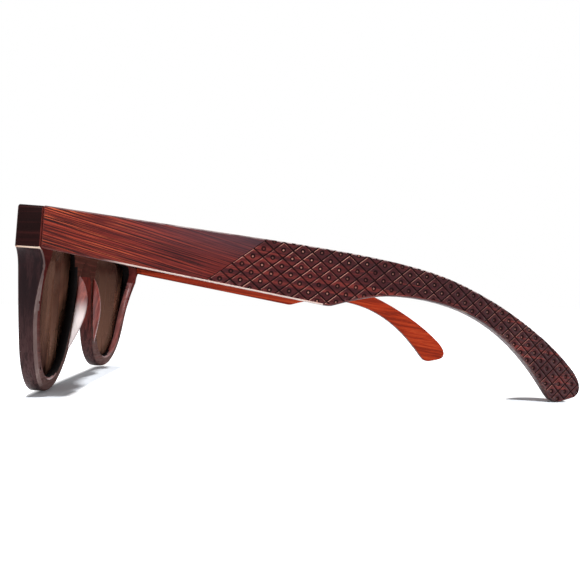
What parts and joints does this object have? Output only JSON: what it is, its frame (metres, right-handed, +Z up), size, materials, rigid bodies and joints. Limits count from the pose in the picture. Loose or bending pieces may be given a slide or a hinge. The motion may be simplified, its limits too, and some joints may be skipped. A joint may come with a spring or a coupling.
{
  "type": "wooden sunglasses",
  "caption": "Wooden sunglasses with grooved rims, dark lenses, glued nose pads and long lattice-carved temples on sprung folding hinges.",
  "frame": {"origin": "centre of the bounding box on the surface that the rims and ear tips stand on", "axes": "+X to the wearer's left, -Y the way the wearer looks, +Y along the temples, +Z up"},
  "size_m": [0.14, 0.1578, 0.0515],
  "materials": {
    "front_wood": "oiled dark stain",
    "temple_wood": "oiled red-brown stain",
    "pad_wood": "polished red-brown stain",
    "lens": "brown tint, polished",
    "hinge_steel": "satin",
    "screw_steel": "bright"
  },
  "bodies": {
    "front": {"front_frame": "front_wood", "lens_left": "lens", "lens_right": "lens", "nose_pad_left": "pad_wood", "nose_pad_right": "pad_wood", "hinge_leaf_left": "hinge_steel", "hinge_leaf_right": "hinge_steel", "leaf_screws_left": "screw_steel", "leaf_screws_right": "screw_steel", "hinge_screw_left": "screw_steel", "hinge_screw_right": "screw_steel"},
    "left_tongue": {"hinge_tongue_left": "hinge_steel", "spring_collar_left": "hinge_steel"},
    "left_arm": {"temple_left": "temple_wood", "spring_case_left": "hinge_steel", "case_screws_left": "screw_steel", "hinge_spring_left": "screw_steel"},
    "right_tongue": {"hinge_tongue_right": "hinge_steel", "spring_collar_right": "hinge_steel"},
    "right_arm": {"temple_right": "temple_wood", "spring_case_right": "hinge_steel", "case_screws_right": "screw_steel", "hinge_spring_right": "screw_steel"}
  },
  "joints": [
    {"name": "left_fold", "type": "hinge", "parent": "front", "child": "left_tongue", "pos_m": [0.0644, -0.06496, 0.04559], "axis": [0, 0.0572, 0.9984], "range_deg": [0, 88.5]},
    {"name": "left_spring", "type": "slide", "parent": "left_tongue", "child": "left_arm", "axis": [0, 0.9984, -0.0572], "range_m": [0, 0.0012], "stiffness_N_per_m": 900, "springref_m": -0.002, "deforming": ["hinge_spring_left"]},
    {"name": "right_fold", "type": "hinge", "parent": "front", "child": "right_tongue", "pos_m": [-0.0644, -0.06496, 0.04559], "axis": [0, -0.0572, -0.9984], "range_deg": [0, 76]},
    {"name": "right_spring", "type": "slide", "parent": "right_tongue", "child": "right_arm", "axis": [0, 0.9984, -0.0572], "range_m": [0, 0.0012], "stiffness_N_per_m": 900, "springref_m": -0.002, "deforming": ["hinge_spring_right"]}
  ]
}
